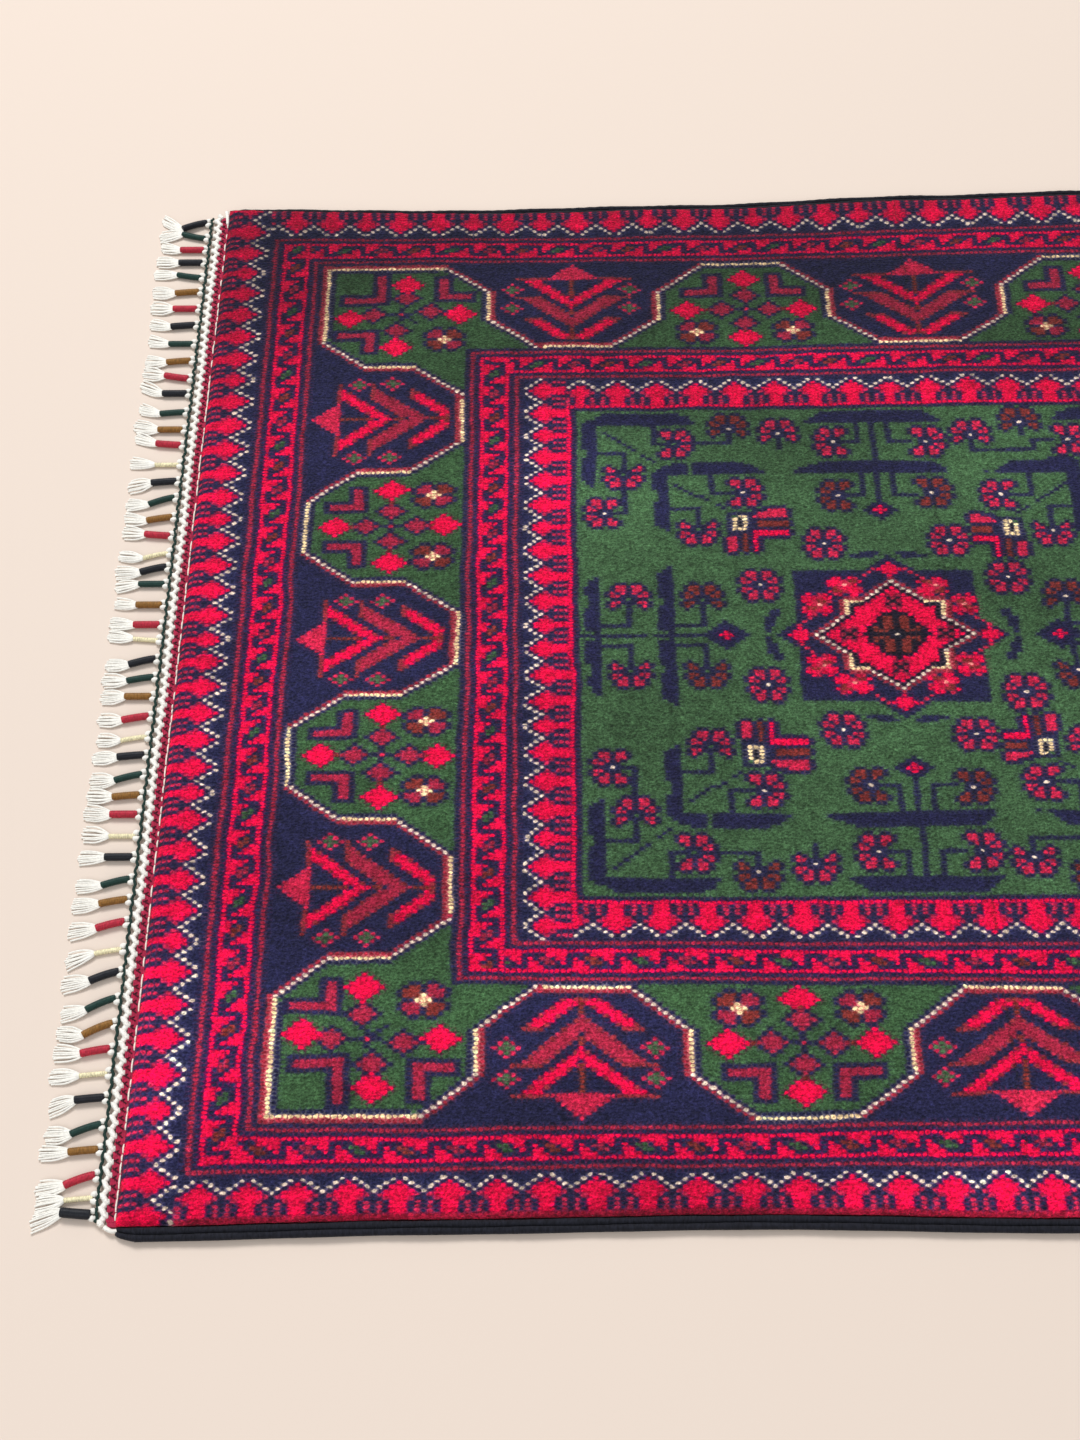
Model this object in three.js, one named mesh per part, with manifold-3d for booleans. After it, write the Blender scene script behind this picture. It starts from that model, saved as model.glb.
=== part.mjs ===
// A knotted pile runner rug lying flat on the floor, with overcast side cords and a tasselled fringe
// at each end. Lengths are millimetres. +X runs along the rug, +Y across it, away from the viewer, and
// +Z is up. The origin is on the floor under the middle of the whole rug.
import * as THREE from 'three';
import { mergeVertices } from 'three/addons/utils/BufferGeometryUtils.js';
import Module from 'manifold-3d';

const wasm = await Module();
wasm.setup();

// Pile: one knot is ROW_PITCH long, and the two stripes of flat weave lie beyond its ends.
const ROW_PITCH = 3.45;
const PILE_ROWS = 869;
const PILE_LENGTH = ROW_PITCH * PILE_ROWS;
const PILE_HEIGHT = 9;
const PILE_SHOULDER = 1.6;
const KILIM_LENGTH = 5.2;
const KILIM_HEIGHT = 2.6;

// Overcast side cords: two thick cords side by side, wrapped together.
const CORD_WIDTH = 4.1;
const CORD_HEIGHT = 6.2;
const CORD_SIDES = 5;
const CORD_ROUND_END = 3;

// Heading: the thick white plait that locks the warps, with the tassels fused into its outer side.
const HEADING_WIDTH = 7.6;
const HEADING_HEIGHT = 4.4;
const HEADING_SHOULDER = 1.3;
const HEADING_INSET_NEAR = 7.4;
const HEADING_INSET_FAR = 6.6;

// Tassels: a knot, a wrapped neck and a fan of loose strands, all level on the floor.
// Their spacing is uneven: how far over 10 each one is from the one before, starting at the near side,
// and how far each fan leans in steps of 2, where 5 doesn't lean.
const FIRST_TASSEL_INSET = 15.7;
const TASSEL_STEPS = '035565566758545554544555452674246745746747686745326';
const FAN_LEANS = '3314224420112335665344454376643475236977985766576767';
const TASSELS = FAN_LEANS.length;
const FAN_GAP = 0.9;
const FAN_WIDTH = 12.4;
const TASSEL_SECTIONS = [
  { reach: -2.6, width: 3.6, height: 2.8 },
  { reach: 0.2, width: 6.8, height: 3.4 },
  { reach: 3.6, width: 6.4, height: 3.5 },
  { reach: 4.2, width: 4.8, height: 4.5 },
  { reach: 20.6, width: 4.7, height: 4.3 },
  { reach: 26.4, width: 8.6, height: 3.2 },
  { reach: 35.6, width: FAN_WIDTH, height: 1.8 },
];

const GAP = 0.3;
const STATIONS = 46;

// The rug's outline is a little uneven: where each side's outer edge runs, at some distances from the
// left end of the pile.
const EDGE_TABLE = [
  { along: 0, near: -404.4, far: 390.0 },
  { along: 170, near: -401.4, far: 386.8 },
  { along: 340, near: -399.6, far: 390.8 },
  { along: 520, near: -402.8, far: 400.0 },
  { along: 640, near: -403.0, far: 404.4 },
  { along: 1100, near: -402.0, far: 401.0 },
  { along: 1700, near: -403.5, far: 402.0 },
  { along: 2400, near: -401.5, far: 398.0 },
  { along: PILE_LENGTH, near: -400.0, far: 395.0 },
];

// The ends aren't quite square to the sides. The far corner of each lies further in than the near one,
// and this fades out along the rug.
const END_INSET = 0.9;
const END_SLOPE = 0.0075;
const END_FADE = 400;

const SELVEDGE_WIDTH = 2 * CORD_WIDTH;
const FRINGE_START = KILIM_LENGTH + GAP;
const TASSEL_ROOT = FRINGE_START + HEADING_WIDTH;

const PILE_CRIMSON = new THREE.MeshStandardMaterial({ color: 0xb01638, roughness: 0.95, metalness: 0 });
const SIDE_CORD_NAVY = new THREE.MeshStandardMaterial({ color: 0x1c1f2a, roughness: 0.8, metalness: 0 });
const FRINGE_WHITE = new THREE.MeshStandardMaterial({ color: 0xe4ddcc, roughness: 0.9, metalness: 0 });

// Height of a smooth curve through the table's points, for one of its columns.
function edgeAt(along, column) {
  const last = EDGE_TABLE.length - 2;
  let k = 0;
  while (k < last && along > EDGE_TABLE[k + 1].along) k += 1;
  const from = EDGE_TABLE[k];
  const to = EDGE_TABLE[k + 1];
  const share = Math.min(Math.max((along - from.along) / (to.along - from.along), 0), 1);
  const eased = share * share * (3 - 2 * share);
  return from[column] + (to[column] - from[column]) * eased;
}

function endInset(across) {
  return END_INSET + END_SLOPE * across;
}

// A place along the rug, moved as far as the end nearest to it is out of square there.
function skewed(along, across) {
  const fromEnd = Math.max(Math.min(along, PILE_LENGTH - along), 0);
  const inward = along < PILE_LENGTH / 2 ? 1 : -1;
  return along + inward * endInset(across) * Math.max(1 - fromEnd / END_FADE, 0);
}

// A closed solid through rings of equal length. Each ring is a list of points round the section.
function loft(rings) {
  const size = rings[0].length;
  const positions = rings.flat(2);
  const indices = [];
  for (let r = 0; r + 1 < rings.length; r += 1) {
    for (let k = 0; k < size; k += 1) {
      const a = r * size + k;
      const b = r * size + ((k + 1) % size);
      indices.push(a, b, b + size, a, b + size, a + size);
    }
  }
  addCap(indices, rings[0], 0, false);
  addCap(indices, rings[rings.length - 1], (rings.length - 1) * size, true);
  const geometry = new THREE.BufferGeometry();
  geometry.setAttribute('position', new THREE.Float32BufferAttribute(positions, 3));
  geometry.setIndex(signedVolume(positions, indices) < 0 ? indices.reverse() : indices);
  return geometry;
}

// Triangles that close a ring, in its own plane. The ring lies across X or across Y.
function addCap(indices, ring, start, facesOnward) {
  const extent = (axis) => {
    const values = ring.map((point) => point[axis]);
    return Math.max(...values) - Math.min(...values);
  };
  const acrossX = extent(0) < extent(1);
  const flat = ring.map(([x, y, z]) => new THREE.Vector2(acrossX ? y : x, z));
  const turnsLeft = THREE.ShapeUtils.area(flat) > 0;
  for (const [a, b, c] of THREE.ShapeUtils.triangulateShape(flat, [])) {
    const face = turnsLeft === facesOnward ? [a, b, c] : [a, c, b];
    indices.push(...face.map((corner) => corner + start));
  }
}

function signedVolume(positions, indices) {
  const [a, b, c] = [new THREE.Vector3(), new THREE.Vector3(), new THREE.Vector3()];
  let sum = 0;
  for (let t = 0; t < indices.length; t += 3) {
    a.fromArray(positions, 3 * indices[t]);
    b.fromArray(positions, 3 * indices[t + 1]);
    c.fromArray(positions, 3 * indices[t + 2]);
    sum += a.dot(b.cross(c));
  }
  return sum / 6;
}

function distancesAlong(from, to) {
  return Array.from({ length: STATIONS + 1 }, (_, k) => from + ((to - from) * k) / STATIONS);
}

// The woven slab: pile with a soft shoulder all round, and a thin flat weave at each end.
function rugBody() {
  const inset = SELVEDGE_WIDTH + GAP;
  const section = (along, height, shoulder) => {
    const near = edgeAt(along, 'near') + inset;
    const far = edgeAt(along, 'far') - inset;
    return [
      [near, 0],
      [far, 0],
      [far, height - shoulder],
      [far - shoulder, height],
      [near + shoulder, height],
      [near, height - shoulder],
    ].map(([across, up]) => [skewed(along, across), across, up]);
  };
  const kilimShoulder = 0.5;
  const lowPile = PILE_HEIGHT - PILE_SHOULDER;
  const rings = [
    section(-KILIM_LENGTH, KILIM_HEIGHT, kilimShoulder),
    section(0, KILIM_HEIGHT, kilimShoulder),
    section(0.5, lowPile, PILE_SHOULDER),
    ...distancesAlong(PILE_SHOULDER, PILE_LENGTH - PILE_SHOULDER).map((along) => (
      section(along, PILE_HEIGHT, PILE_SHOULDER))),
    section(PILE_LENGTH - 0.5, lowPile, PILE_SHOULDER),
    section(PILE_LENGTH, KILIM_HEIGHT, kilimShoulder),
    section(PILE_LENGTH + KILIM_LENGTH, KILIM_HEIGHT, kilimShoulder),
  ];
  return loft(rings);
}

// Half of the double cord's section, from its floor side over the top to the groove in its middle.
function cordLobe(side) {
  return Array.from({ length: CORD_SIDES }, (_, k) => {
    const turn = Math.PI * (-0.32 + (1.12 * k) / (CORD_SIDES - 1));
    const across = (CORD_WIDTH / 2) * (1 + Math.cos(turn));
    return [side * across, (CORD_HEIGHT / 2) * (1 + Math.sin(turn))];
  });
}

// One overcast side: two cords run along the edge, and their ends round off.
function selvedge(column) {
  const outward = column === 'near' ? -1 : 1;
  const outer = cordLobe(outward);
  const inner = cordLobe(-outward).reverse();
  const floorPoint = outer[0][1];
  const section = (along, scale) => {
    const middle = edgeAt(along, column) - (outward * SELVEDGE_WIDTH) / 2;
    return [...outer, ...inner].map(([across, up]) => [
      skewed(along, middle), middle + across * scale, Math.max((up - floorPoint) * scale, 0),
    ]);
  };
  const rings = [
    section(0, 0.6),
    section(CORD_ROUND_END / 3, 0.85),
    ...distancesAlong(CORD_ROUND_END, PILE_LENGTH - CORD_ROUND_END).map((along) => section(along, 1)),
    section(PILE_LENGTH - CORD_ROUND_END / 3, 0.85),
    section(PILE_LENGTH, 0.6),
  ];
  return loft(rings);
}

// Where a tassel starts across the rug, and how far its tip leans from there.
function tasselPlace(k) {
  const steps = [...TASSEL_STEPS].slice(0, k).map((digit) => 10 + Number(digit));
  const across = steps.reduce((sum, step) => sum + step, EDGE_TABLE[0].near + FIRST_TASSEL_INSET);
  return { across, lean: 2 * (Number(FAN_LEANS[k]) - 5) };
}

// One lock: sections of four sides, level on the floor, along a path that bends sideways.
function tassel(k) {
  const { across, lean } = tasselPlace(k);
  const tip = across + lean;
  const neighbours = [k - 1, k + 1].filter((n) => n >= 0 && n < TASSELS).map((n) => {
    const other = tasselPlace(n);
    return Math.abs(other.across + other.lean - tip);
  });
  const fanWidth = Math.min(FAN_WIDTH, Math.min(...neighbours) - FAN_GAP);
  const longest = TASSEL_SECTIONS[TASSEL_SECTIONS.length - 1].reach;
  const rings = TASSEL_SECTIONS.map(({ reach, width, height }) => {
    const drift = lean * Math.max(reach / longest, 0) ** 1.3;
    const half = Math.min(width, fanWidth) / 2;
    const x = -TASSEL_ROOT - reach + endInset(across) * (1 - (0.5 * reach) / longest);
    return [
      [x, across + drift - half, 0],
      [x, across + drift + half, 0],
      [x, across + drift + half * 0.8, height],
      [x, across + drift - half * 0.8, height],
    ];
  });
  return loft(rings);
}

function headingBar() {
  const start = EDGE_TABLE[0].near + HEADING_INSET_NEAR;
  const end = EDGE_TABLE[0].far - HEADING_INSET_FAR;
  const inner = -FRINGE_START;
  const outer = -TASSEL_ROOT;
  const section = (across) => [
    [inner, 0],
    [inner, HEADING_HEIGHT - HEADING_SHOULDER],
    [inner - HEADING_SHOULDER, HEADING_HEIGHT],
    [outer + HEADING_SHOULDER, HEADING_HEIGHT],
    [outer, HEADING_HEIGHT - HEADING_SHOULDER],
    [outer, 0],
  ].map(([along, up]) => [along + endInset(across), across, up]);
  return loft([section(start), section(end)]);
}

function toManifold(geometry) {
  const merged = mergeVertices(geometry);
  return new wasm.Manifold(new wasm.Mesh({
    numProp: 3,
    vertProperties: new Float32Array(merged.attributes.position.array),
    triVerts: new Uint32Array(merged.index.array),
  }));
}

function fromManifold(solid) {
  const mesh = solid.getMesh();
  const geometry = new THREE.BufferGeometry();
  geometry.setAttribute('position', new THREE.BufferAttribute(new Float32Array(mesh.vertProperties), 3));
  geometry.setIndex(new THREE.BufferAttribute(new Uint32Array(mesh.triVerts), 1));
  return geometry;
}

// The heading and its tassels, joined into one solid beyond the left end of the pile.
function fringe() {
  let solid = toManifold(headingBar());
  for (let k = 0; k < TASSELS; k += 1) solid = solid.add(toManifold(tassel(k)));
  return fromManifold(solid);
}

// The same solid turned into its mirror image across the rug's middle, its faces still pointing out.
function mirroredAlong(geometry) {
  const copy = geometry.clone().scale(-1, 1, 1);
  copy.setIndex(Array.from(copy.index.array).reverse());
  return copy;
}

function namedMesh(name, geometry, material, alongShift) {
  const mesh = new THREE.Mesh(geometry, material);
  mesh.name = name;
  mesh.position.x = alongShift;
  return mesh;
}

const group = new THREE.Group();
const leftEnd = -PILE_LENGTH / 2;
const leftFringe = fringe();
group.add(
  namedMesh('rug_body', rugBody(), PILE_CRIMSON, leftEnd),
  namedMesh('selvedge_near', selvedge('near'), SIDE_CORD_NAVY, leftEnd),
  namedMesh('selvedge_far', selvedge('far'), SIDE_CORD_NAVY, leftEnd),
  namedMesh('fringe_left', leftFringe, FRINGE_WHITE, leftEnd),
  namedMesh('fringe_right', mirroredAlong(leftFringe), FRINGE_WHITE, -leftEnd),
);

export default group;
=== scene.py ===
import math

import bpy
import numpy as np
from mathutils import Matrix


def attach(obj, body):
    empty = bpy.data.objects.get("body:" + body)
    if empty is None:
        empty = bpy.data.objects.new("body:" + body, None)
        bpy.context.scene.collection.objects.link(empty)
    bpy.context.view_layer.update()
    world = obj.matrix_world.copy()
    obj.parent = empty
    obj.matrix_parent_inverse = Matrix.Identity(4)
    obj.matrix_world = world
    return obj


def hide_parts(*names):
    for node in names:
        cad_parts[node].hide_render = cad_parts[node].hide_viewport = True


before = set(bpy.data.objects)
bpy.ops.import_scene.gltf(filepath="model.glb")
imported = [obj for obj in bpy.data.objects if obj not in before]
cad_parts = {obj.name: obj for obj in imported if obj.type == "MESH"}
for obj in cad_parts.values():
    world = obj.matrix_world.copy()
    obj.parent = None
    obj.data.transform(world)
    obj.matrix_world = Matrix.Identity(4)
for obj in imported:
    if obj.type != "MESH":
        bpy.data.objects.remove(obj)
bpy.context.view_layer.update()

bl_info = {
    "name": "Runner Rug",
    "version": (1, 0, 0),
    "blender": (4, 5, 0),
    "location": "View3D > Sidebar > Rug",
    "description": "Knotted pile runner rug with overcast sides and tasselled ends",
    "category": "Mesh",
}

MM = 0.001

# The pattern, in knots. Columns run along the rug and rows across it.

COLS = 869
ROWS = 299
BORDER_COLS = 74
BORDER_ROWS = 75
MAIN_COL = 21
MAIN_ROW = 22
MAIN_DEPTH = 31
LOBE_PERIOD = 72
LOBE_COL = 38
LOBE_ROW = 41
COMPARTMENTS = 6
HALF = 60
MIDDLE = 74

# The setting that holds each yarn's colour, by the letter that stands for it in the charts.
YARN_NAMES = {
    "N": "navy", "R": "crimson", "M": "rose", "D": "madder", "P": "pink", "G": "green", "F": "moss",
    "I": "ivory", "W": "white", "B": "brown", "K": "black", "E": "edge", "O": "rust", "A": "russet",
    "S": "blush",
}
LETTERS = "".join(YARN_NAMES)
CODE = {letter: k for k, letter in enumerate(LETTERS)}


class Chart:
    """A grid of yarn letters, drawn with whole-knot shapes. Empty knots let what is below show."""

    def __init__(self, cols, rows, col0=0, row0=0):
        self.knots = np.full((cols, rows), -1, np.int8)
        self.col0, self.row0 = col0, row0

    def box(self, yarn, c0, c1, r0, r1):
        """Columns c0 to c1 and rows r0 to r1, the last ones too."""
        a, b = sorted((c0 - self.col0, c1 - self.col0))
        c, d = sorted((r0 - self.row0, r1 - self.row0))
        self.knots[max(a, 0):max(b + 1, 0), max(c, 0):max(d + 1, 0)] = CODE[yarn]

    def dot(self, yarn, col, row):
        """One knot."""
        self.box(yarn, col, col, row, row)

    def diamond(self, yarn, col, row, reach, rim=None):
        """A square on its corner, reaching so many knots from its middle, with a rim if one is named."""
        if rim:
            self.diamond(rim, col, row, reach + 1)
        for k in range(-reach, reach + 1):
            self.box(yarn, col - reach + abs(k), col + reach - abs(k), row + k, row + k)

    def line(self, yarn, col, row, col_step, row_step, count):
        """Single knots at even steps."""
        for k in range(count):
            self.dot(yarn, col + k * col_step, row + k * row_step)

    def figure(self, lines, col, row, flip_cols=False):
        """A figure written as rows of letters, with a stroke between two rows and a stop for no knot."""
        for r, text in enumerate(lines.split("/")):
            for c, letter in enumerate(text[::-1] if flip_cols else text):
                if letter != ".":
                    self.dot(letter, col + c, row + r)

    def rimmed(self, yarn, boxes):
        """Boxes of one yarn that touch, with one navy rim about them all."""
        for c0, c1, r0, r1 in boxes:
            self.box("N", c0 - 1, c1 + 1, r0 - 1, r1 + 1)
        for c0, c1, r0, r1 in boxes:
            self.box(yarn, c0, c1, r0, r1)

    def over(self, other, col, row, flip_cols=False, flip_rows=False, turned=False):
        """Another chart laid over this one, its first knot at col and row. What falls outside is cut off."""
        patch = other.knots
        if flip_cols:
            patch = patch[::-1]
        if flip_rows:
            patch = patch[:, ::-1]
        if turned:
            patch = patch.T
        c, r = col - self.col0, row - self.row0
        c1, r1 = max(c, 0), max(r, 0)
        patch = patch[c1 - c:, r1 - r:]
        target = self.knots[c1:c1 + patch.shape[0], r1:r1 + patch.shape[1]]
        patch = patch[:target.shape[0], :target.shape[1]]
        target[patch >= 0] = patch[patch >= 0]


FLOWER = "..NN.NN../.NBBNDDN./NBBBNDDDN/NBBBIDDDN/.NNIIINN./NDDDIBBBN/NDDDNBBBN/.NDDNBBN./..NN.NN.."


def lobe_edge(t):
    """How far a green lobe reaches sideways from its middle, t knots in from the border's outer edge."""
    if t <= 10:
        return 8 + t
    if t <= 20:
        return 18
    return t - 2


def green_motifs(chart):
    """The red and brown figures of a green lobe, either side of its middle at column 0."""
    chart.diamond("R", 0, 6, 3)
    chart.diamond("R", 0, 27, 3)
    chart.diamond("D", 0, 12, 2, rim="N")
    chart.diamond("D", 0, 22, 2, rim="N")
    chart.dot("B", 0, 9)
    chart.dot("B", 0, 25)
    for side in (-1, 1):
        chart.diamond("D", 5 * side, 17, 2, rim="N")
        chart.diamond("R", 12 * side, 17, 3)
        chart.dot("B", 8 * side, 17)
        chart.dot("N", side, 17)
        upright = sorted((6 * side, 7 * side))
        foot = sorted((6 * side, 12 * side))
        chart.rimmed("D", [(*upright, 5, 11), (*foot, 10, 11)])
    chart.figure(FLOWER, 6, 21)
    chart.figure(FLOWER, -14, 21, flip_cols=True)
    chart.line("N", 0, 15, 0, 1, 5)
    chart.dot("M", 0, 17)


BOUGHS = (
    # yarn, row where the arms would meet, highest row, foot, rows of the arm, reach, start of the brown foot
    ("R", 30, 27, 20, 4, 10, 7),
    ("D", 23, 23, 12, 5, 12, 7),
    ("R", 16, 16, 5, 4, 12, 6),
)


def tree(chart):
    """The stepped red tree of a navy lobe, its top at the border's outer edge."""
    for t in range(6):
        chart.box("M", -t, t, t, t)
    for yarn, meeting, peak, foot, rows, reach, brown in BOUGHS:
        for n in range(-reach, reach + 1):
            away = abs(n)
            top = min(meeting - away, peak)
            low = max(meeting - away - rows + (1 if away else 2), foot)
            notch = top if away % 2 else low
            for t in range(low, top + 1):
                chart.dot("A" if t == notch and away else yarn, n, t)
            if away >= brown:
                chart.dot("A", n, foot)
    for first, last in ((6, 12), (17, 18), (24, 27)):
        chart.box("B", 0, 0, first, last)
    for bud_col in (-13, 12):
        for bud_row in (9, 16):
            chart.diamond("P", bud_col, bud_row, 2)
            chart.diamond("F", bud_col, bud_row, 1)


def main_border():
    """One repeat of the main border. Column 0 is the middle of the green lobe, and row 0 the outer edge."""
    half = LOBE_PERIOD // 2
    chart = Chart(LOBE_PERIOD, MAIN_DEPTH, -half)
    chart.box("N", -half, half, 0, MAIN_DEPTH - 1)
    for t in range(MAIN_DEPTH):
        edge = lobe_edge(t)
        chart.box("G", -edge, edge, t, t)
        for side in (-1, 1):
            chart.dot("O", side * (edge + 1), t)
            chart.dot("I" if 11 <= t <= 20 or t == 0 else "W", side * edge, t)
            chart.dot("N", side * (edge - 1), t)
    chart.box("I", -8, 8, 0, 0)
    chart.box("N", -7, 7, 1, 1)
    for side in (-1, 1):
        chart.box("O", side * 28, side * half, 29, 29)
        chart.box("I", side * 28, side * half, 30, 30)
    green_motifs(chart)
    reach = 15
    leafed = Chart(2 * reach + 1, MAIN_DEPTH, -reach)
    tree(leafed)
    for middle in (-half, half):
        chart.over(leafed, middle - reach, 0)
    return chart


CORNER_COLS = 64
CORNER_ROWS = 66
CORNER_RHOMBS = (
    # column, row, yarn, reach
    (18, 12, "D", 2), (11, 18, "D", 2), (23, 17, "D", 2), (16, 24, "D", 2),
    (18, 7, "R", 3), (6, 19, "R", 3), (29, 18, "R", 3), (16, 30, "R", 3),
)
CORNER_HOOKS = (
    # first and last column, first and last row of the two bars of each hook
    ((5, 13, 12, 13), (12, 13, 4, 13)),
    ((25, 26, 5, 12), (25, 31, 11, 12)),
    ((4, 11, 25, 26), (10, 11, 25, 31)),
)


def corner_lobe():
    """The green lobe in a corner. Column 0 and row 0 are the outer knots of its two sides."""
    chart = Chart(CORNER_COLS, CORNER_ROWS)
    for u in range(CORNER_COLS):
        for v in range(CORNER_ROWS):
            # how many knots this one lies past the lobe's edge, counted from each side it starts from
            past = [(u - 17 - lobe_edge(v), v)] if v < MAIN_DEPTH else []
            past += [(v - 19 - lobe_edge(u), u)] if u < MAIN_DEPTH else []
            if past:
                most, depth = max(past, key=lambda pair: pair[0])
                outline = "I" if 11 <= depth <= 20 else "W"
                yarn = "G" if most < -1 else {-1: "N", 0: outline, 1: "O"}.get(most)
                if yarn:
                    chart.dot(yarn, u, v)
    for k, (yarn, col, row) in enumerate((("O", 25, 27), ("I", 25, 27), ("N", 24, 26))):
        chart.box(yarn, k, col, k, k)
        chart.box(yarn, k, k, k, row)
    for boxes in CORNER_HOOKS:
        chart.rimmed("D", boxes)
    for col, row, yarn, reach in CORNER_RHOMBS:
        chart.diamond(yarn, col, row, reach, rim="N" if yarn == "D" else None)
    chart.figure(FLOWER, 22, 23, flip_cols=True)
    chart.line("N", 15, 18, 1, 0, 5)
    chart.line("N", 17, 16, 0, 1, 5)
    chart.line("N", 18, 19, 1, 1, 3)
    chart.dot("M", 17, 18)
    return chart


def around(knots):
    """The knots that share a side with one of these and aren't among them."""
    near = {(c + a, r + b) for c, r in knots for a, b in ((1, 0), (-1, 0), (0, 1), (0, -1))}
    return near - knots


PETALS = ((-2, -4), (-1, -4), (-2, -3), (-1, -3), (-3, -2), (-1, -2), (-3, -1), (-2, -1))
TOWARD = {"left": (-1, 0), "right": (1, 0), "near": (0, -1), "far": (0, 1), "none": (0, 0)}


def rosette(chart, yarn, heart, col, row, stem):
    """Eight petals about a heart. The side that its stem comes from has no petals."""
    col_way, row_way = TOWARD[stem]
    petals = set()
    for c, r in ((c * a, r * b) for c, r in PETALS for a in (-1, 1) for b in (-1, 1)):
        beside = col_way * c >= 2 and abs(r) <= 2
        beyond = row_way * r >= 3 or (row_way * r == 2 and abs(c) == 1)
        if not beside and not beyond:
            petals.add((c, r))
    for c, r in around(petals):
        chart.dot("N", col + c, row + r)
    chart.diamond("N", col, row, 1)
    for c, r in petals:
        chart.dot(yarn, col + c, row + r)
    chart.dot(heart, col, row)


def path(chart, *corners):
    """A navy line one knot wide through corners, straight along columns or rows."""
    for (c0, r0), (c1, r1) in zip(corners, corners[1:]):
        chart.box("N", c0, c1, r0, r1)


def dotted(chart, c0, r0, c1, r1):
    """A slanting line of single navy knots, with a gap after every seven."""
    steps = max(abs(c1 - c0), abs(r1 - r0))
    for k in range(steps + 1):
        if k % 8 != 7:
            chart.dot("N", round(c0 + (c1 - c0) * k / steps), round(r0 + (r1 - r0) * k / steps))


# The figures of a quarter of a compartment, from its corner. Each compartment's second half has some of
# them nearer to its star than its first half has.
LONG_BARS = {
    # first column, last column, row
    "both": ((6, 21, 2), (5, 23, 3), (3, 23, 4), (2, 24, 5),
             (50, 60, 2), (49, 60, 3), (48, 60, 4), (47, 60, 5)),
    "first": ((20, 33, 19), (18, 35, 20), (17, 36, 21), (16, 37, 22),
              (49, 60, 19), (47, 60, 20), (45, 60, 21), (44, 60, 22)),
    "second": ((22, 26, 18), (21, 34, 19), (21, 35, 20), (21, 36, 21), (24, 37, 22), (39, 39, 22),
               (49, 60, 19), (48, 60, 20), (47, 60, 21), (47, 60, 22)),
}
CROSS_BARS = {
    # column, first row, last row
    "both": ((2, 5, 13), (2, 17, 24), (3, 5, 25), (4, 5, 26),
             (2, 59, 61), (2, 66, 72), (3, 57, 72), (4, 56, 74)),
    "first": ((16, 22, 27), (16, 32, 39), (17, 22, 40), (18, 22, 41),
              (16, 55, 62), (16, 65, 72), (17, 54, 72), (18, 53, 74)),
    "second": ((21, 22, 41), (22, 22, 42), (23, 22, 42), (21, 55, 72), (22, 54, 72), (23, 53, 74)),
}
STEMS = {
    # column and row of the corners that a line runs through
    "both": (((5, 15), (10, 15), (10, 35), (8, 35)), ((5, 71), (10, 71), (10, 64)), ((1, 74), (13, 74)),
             ((60, 6), (60, 32)), ((53, 12), (57, 12), (57, 6)), ((57, 23), (57, 30), (53, 30))),
    "first": (((16, 6), (16, 12), (18, 12)), ((23, 12), (31, 12), (31, 8)), ((27, 23), (27, 29), (32, 29)),
              ((18, 34), (24, 34), (24, 40)), ((41, 11), (41, 14)), ((19, 71), (24, 71), (24, 64)),
              ((15, 74), (24, 74))),
    "second": (((25, 12), (29, 12), (29, 15), (41, 15), (41, 12)), ((31, 8), (31, 10)),
               ((31, 21), (31, 30), (36, 30)), ((23, 34), (28, 34), (28, 41)), ((24, 71), (28, 71), (28, 64)),
               ((20, 74), (26, 74))),
}
ROSETTES = {
    # yarn, heart, column, row, side that its stem comes from
    "both": (("M", "F", 10, 22, "near"), ("M", "W", 6, 35, "right"), ("M", "F", 10, 63, "far")),
    "first": (("M", "F", 20, 12, "left"), ("B", "W", 31, 7, "far"), ("M", "W", 33, 29, "left"),
              ("M", "F", 24, 41, "near"), ("M", "W", 41, 9, "far"), ("M", "W", 52, 12, "right"),
              ("B", "W", 52, 30, "right"), ("M", "W", 48, 46, "none"), ("M", "W", 35, 59, "none"),
              ("B", "F", 24, 63, "far")),
    "second": (("M", "W", 22, 12, "right"), ("B", "W", 31, 6, "far"), ("M", "W", 41, 10, "far"),
               ("M", "W", 50, 12, "right"), ("B", "W", 50, 29, "right"), ("M", "W", 37, 30, "left"),
               ("M", "W", 28, 42, "near"), ("M", "W", 48, 45, "none"), ("M", "W", 38, 57, "none"),
               ("B", "W", 28, 63, "far")),
}


def field_quarter(half):
    """A quarter of a compartment, from its corner to its middle at column HALF and row MIDDLE."""
    chart = Chart(HALF + 1, MIDDLE + 1)
    chart.box("F", 0, HALF, 0, MIDDLE)
    for part in ("both", half):
        for first, last, row in LONG_BARS[part]:
            chart.box("N", first, last, row, row)
        for col, first, last in CROSS_BARS[part]:
            chart.box("N", col, col, first, last)
        for corners in STEMS[part]:
            path(chart, *corners)
    dotted(chart, 6, 8, 16, 18)
    for part in ("both", half):
        for yarn, heart, col, row, stem in ROSETTES[part]:
            rosette(chart, yarn, heart, col, row, stem)
    chart.diamond("N", HALF, 35, 3)
    chart.diamond("R", HALF, 35, 1)
    if half == "first":
        chart.box("F", 23, 23, 19, 22)
        dotted(chart, 20, 26, 29, 34)
        chart.over(palmette(41), 29, 34)
        eye = 28
    else:
        dotted(chart, 24, 26, 34, 36)
        chart.over(palmette(39), 33, 36)
        eye = 30
    chart.diamond("N", eye, MIDDLE, 4)
    chart.diamond("R", eye, MIDDLE, 1)
    return chart


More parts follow.
